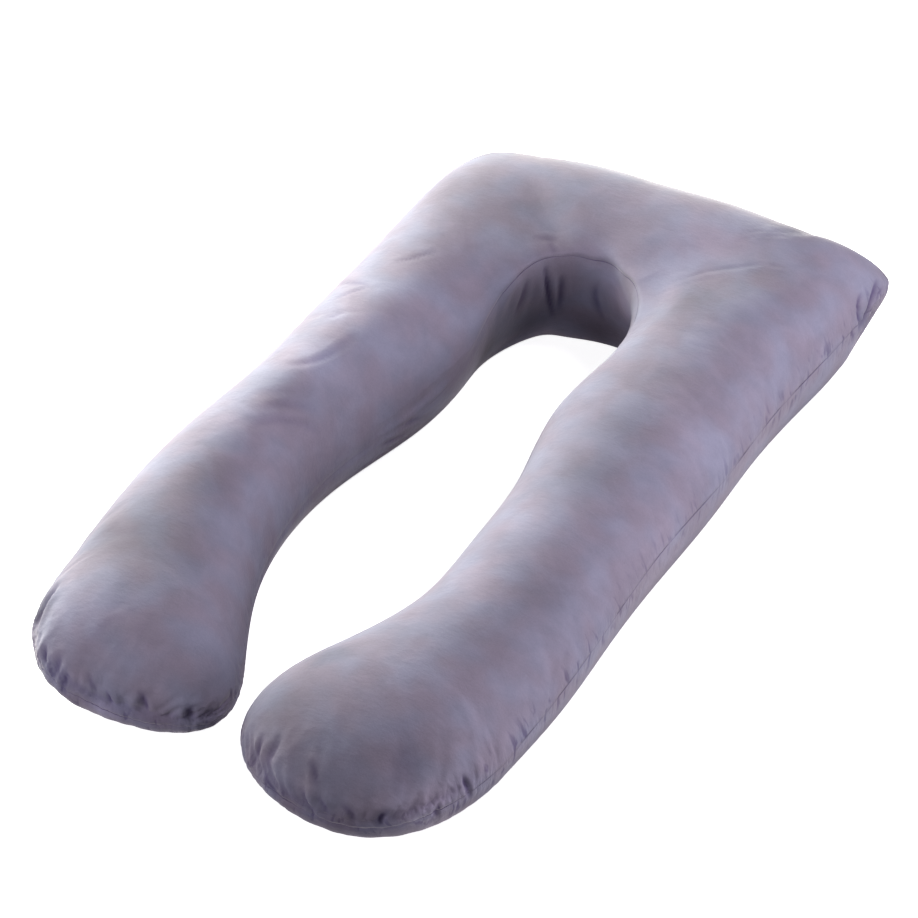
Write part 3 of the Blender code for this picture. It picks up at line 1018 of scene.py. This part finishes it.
def velvet_material(finish):
    """Short-pile velvet: brushed patches, warmer and cooler patches, tufts, tucks and sheen, with
    painted light and shade in some patches and painted shade in folds, tucks and along the seam.
    """
    material = bpy.data.materials.new("pillow_velvet")
    nodes = Nodes(material)
    places = nodes.add("TexCoord", output="Object")
    brushed = nodes.noise(places, NAP_PATCH, BROKEN, NAP_WARP)
    streaked = nap_streaks(nodes, NAP_STREAK, BROKEN)
    fine = nap_streaks(nodes, FINE_STREAK, EVEN)
    tufts = nodes.noise(places, PILE_TUFT, EVEN)
    tucks, painted_shade, line = seam_tucks(nodes)
    hue = nodes.spread(nodes.noise(places, HUE_PATCH, PLAIN), 0.0, 1.0)
    colour = nodes.add(
        "Mix",
        {"Factor": hue, "A": (*finish.mauve, 1.0), "B": (*finish.slate, 1.0)},
        output="Result",
        data_type="RGBA",
    )
    # Lighter and darker patches: partly brushed pile, partly painted light and shade.
    nap_and_painted_light = nodes.attribute("nap_and_painted_light")
    brightness = nap_and_painted_light
    for noise, contrast in (
        (brushed, finish.nap_contrast),
        (streaked, finish.nap_contrast * STREAK_CONTRAST),
        (tufts, TUFT_CONTRAST),
    ):
        brightness = nodes.times(brightness, nodes.spread(noise, 1 - contrast, 1 + contrast))
    # Base colour with the patches' painted light and shade and the random tone of the pile.
    colour_with_painted_light = nodes.add("VectorMath", {0: colour, "Scale": brightness}, operation="SCALE")
    # Painted shade in folds, tucks and along the seam darkens the base colour, least in blue.
    depth = nodes.math("MAXIMUM", nodes.attribute("painted_fold_shade"), painted_shade)
    depth = nodes.times(depth, finish.painted_crease_shade)
    shade = nodes.add("VectorMath", {0: PAINTED_SHADE_RGB, "Scale": depth}, operation="SCALE")
    shade = nodes.add("VectorMath", {0: (1.0, 1.0, 1.0), 1: shade}, operation="SUBTRACT")
    colour_with_painted_light = nodes.add("VectorMath", {0: colour_with_painted_light, 1: shade}, operation="MULTIPLY")
    # The sheen is dimmed by the same painted shade, and follows the patches' painted light and shade.
    sheen = nodes.times(nodes.times(nodes.rest(depth), nap_and_painted_light), finish.sheen)
    relief = nodes.bumps(
        (brushed, finish.nap_relief),
        (streaked, finish.nap_relief * STREAK_SHARE),
        (fine, finish.streak_relief),
        (tucks, finish.tuck_relief),
        (nodes.rest(line), finish.tuck_relief / 2),
        (tufts, finish.pile_relief),
    )
    shader = nodes.tree.nodes["Principled BSDF"]
    nodes.set(
        shader,
        {
            "Base Color": colour_with_painted_light,
            "Normal": relief,
            "Roughness": PILE_ROUGHNESS,
            "Specular IOR Level": PILE_GLOSS,
            "Sheen Weight": sheen,
            "Sheen Roughness": SHEEN_ROUGHNESS,
            "Sheen Tint": (*finish.sheen_tint, 1.0),
        },
    )
    return material


class StudioSetup(bpy.types.PropertyGroup):
    """Where the camera stands, and how bright the studio is."""

    azimuth: number(
        ANGLE,
        "Azimuth",
        "Angle of the camera round the pillow, from the front towards the right",
        math.radians(30.15),
    )
    elevation: number(ANGLE, "Elevation", "Angle of the camera above the floor", math.radians(38.9))
    distance: number(
        LENGTH, "Distance", "Distance of the camera from the middle of the pillow", 8.0, min=1.0
    )
    lens: number(FOCAL_LENGTH, "Lens", "Focal length of the camera", 230.0)
    light: number(AMOUNT, "Light", "Brightness of all the lamps together", 1.07)
    bounce: number(POWER, "Bounce", "Power of the light that comes back up from the floor", 4.0)
    floor_glow: number(
        AMOUNT,
        "Floor Glow",
        "Light that the floor sheet gives off by itself, which keeps its shadows faint",
        0.88,
    )


CAMERA_TARGET = Vector((0.0, 0.0, 0.1))  # the camera and all lamps but the bounce are aimed at it
CAMERA_SHIFT = (0.004, 0.012)  # how far the picture is moved sideways and up, as a share of its side
CAMERA_REACH = 100.0
FLOOR_SIDE = 60.0
FLOOR_WHITE = (0.9, 0.9, 0.9, 1.0)
WHITE = (1.0, 1.0, 1.0, 1.0)
LAMP_DISTANCE = 3.0
LAMP_SIZE = 1.2
BOUNCE_SIZE = 3.0
BOUNCE_HEIGHT = 0.002
BOUNCE_TINT = (0.93, 0.84, 1.00)
NEUTRAL = (0.98, 1.00, 0.90)
VIOLET = (0.97, 0.92, 1.00)

# The soft lamps, all aimed at the middle of the pillow.  Azimuth is in degrees from the head end (+Y)
# towards the right (+X), elevation in degrees above the floor, and power in watts.
Lamp = namedtuple("Lamp", "name azimuth elevation power tint")
LAMPS = (
    Lamp("key_low", -70, 5, 110, NEUTRAL),
    Lamp("key", -70, 20, 110, NEUTRAL),
    Lamp("key_side", -90, 20, 30, NEUTRAL),
    Lamp("back", 60, 10, 35, VIOLET),
    Lamp("back_high", 60, 60, 45, VIOLET),
    Lamp("right", 90, 10, 25, VIOLET),
    Lamp("front_left", -150, 10, 30, VIOLET),
    Lamp("front_high", 180, 35, 10, VIOLET),
)


def direction(azimuth, elevation):
    """The way to look from the pillow; azimuth from +Y towards +X."""
    level = math.cos(elevation)
    return Vector((math.sin(azimuth) * level, math.cos(azimuth) * level, math.sin(elevation)))


def add_camera(studio):
    data = bpy.data.cameras.new("studio_camera")
    camera = bpy.data.objects.new("studio_camera", data)
    bpy.context.collection.objects.link(camera)
    back = direction(math.pi - studio.azimuth, studio.elevation)
    camera.location = CAMERA_TARGET + back * studio.distance
    camera.rotation_euler = back.to_track_quat("Z", "Y").to_euler()
    data.lens = studio.lens
    data.shift_x, data.shift_y = CAMERA_SHIFT
    data.clip_end = CAMERA_REACH
    bpy.context.scene.camera = camera


def add_area_lamp(name, size, power, tint, place, back):
    """A round lamp that the camera doesn't see, and that shines away from the way back."""
    data = bpy.data.lights.new("studio_" + name, "AREA")
    data.shape = "DISK"
    data.size = size
    data.energy = power
    data.color = tint
    light = bpy.data.objects.new("studio_" + name, data)
    bpy.context.collection.objects.link(light)
    light.location = place
    light.rotation_euler = back.to_track_quat("Z", "Y").to_euler()
    light.visible_camera = False


def add_lamp(lamp, brightness):
    back = direction(math.radians(lamp.azimuth), math.radians(lamp.elevation))
    place = CAMERA_TARGET + back * LAMP_DISTANCE
    add_area_lamp(lamp.name, LAMP_SIZE, lamp.power * brightness, lamp.tint, place, back)


def add_bounce(studio):
    """The soft light that a pale floor sends back up: a wide, dim lamp that lies on it."""
    power = studio.bounce * studio.light
    place = Vector((0.0, 0.0, BOUNCE_HEIGHT))
    add_area_lamp("bounce", BOUNCE_SIZE, power, BOUNCE_TINT, place, Vector((0.0, 0.0, -1.0)))


def add_floor(studio):
    """A white sheet that glows a little, so that its shadows are faint.  It lights nothing else."""
    bpy.ops.object.select_all(action="DESELECT")
    bpy.ops.mesh.primitive_plane_add(size=FLOOR_SIDE)
    floor = bpy.context.object
    floor.name = "studio_floor"
    floor.visible_diffuse = False
    floor.visible_glossy = False
    material = bpy.data.materials.new("studio_floor")
    nodes = Nodes(material)
    nodes.set(
        nodes.tree.nodes["Principled BSDF"],
        {
            "Base Color": FLOOR_WHITE,
            "Roughness": 1.0,
            "Specular IOR Level": 0.0,
            "Emission Color": WHITE,
            "Emission Strength": studio.floor_glow,
        },
    )
    floor.data.materials.append(material)


def set_backdrop():
    """Pure white beyond the floor, which only the camera sees."""
    world = bpy.data.worlds.new("studio_backdrop")
    world.use_nodes = True
    world.node_tree.nodes["Background"].inputs["Color"].default_value = WHITE
    world.cycles_visibility.diffuse = False
    world.cycles_visibility.glossy = False
    bpy.context.scene.world = world


class BODYPILLOW_OT_add_studio(bpy.types.Operator):
    """Adds the floor, the backdrop, the soft lamps and the camera"""

    bl_idname = "body_pillow.add_studio"
    bl_label = "Add Studio"

    def execute(self, context):
        studio = context.scene.body_pillow_studio
        add_floor(studio)
        set_backdrop()
        for lamp in LAMPS:
            add_lamp(lamp, studio.light)
        add_bounce(studio)
        add_camera(studio)
        context.scene.view_settings.view_transform = "Standard"
        return {"FINISHED"}


class BODYPILLOW_PT_sidebar(bpy.types.Panel):
    """Builds the body pillow and its studio"""

    bl_idname = "BODYPILLOW_PT_sidebar"
    bl_label = "Body Pillow"
    bl_space_type = "VIEW_3D"
    bl_region_type = "UI"
    bl_category = "Body Pillow"

    def draw(self, context):
        for settings in SETTINGS:
            group = getattr(context.scene, settings)
            for name in group.bl_rna.properties.keys():
                if name not in ("rna_type", "name"):
                    self.layout.prop(group, name)
        for operator in OPERATORS:
            self.layout.operator(operator.bl_idname)


SETTINGS = {
    "body_pillow_shape": PillowShape,
    "body_pillow_velvet": VelvetFinish,
    "body_pillow_studio": StudioSetup,
}
OPERATORS = (BODYPILLOW_OT_add_cover, BODYPILLOW_OT_add_studio)
CLASSES = (*SETTINGS.values(), *OPERATORS, BODYPILLOW_PT_sidebar)


def register():
    for cls in CLASSES:
        bpy.utils.register_class(cls)
    for name, cls in SETTINGS.items():
        setattr(bpy.types.Scene, name, bpy.props.PointerProperty(type=cls))


def unregister():
    for name in SETTINGS:
        delattr(bpy.types.Scene, name)
    for cls in reversed(CLASSES):
        bpy.utils.unregister_class(cls)


def main():
    register()
    bpy.ops.body_pillow.add_cover()
    bpy.ops.body_pillow.add_studio()


if __name__ == "__main__":
    main()
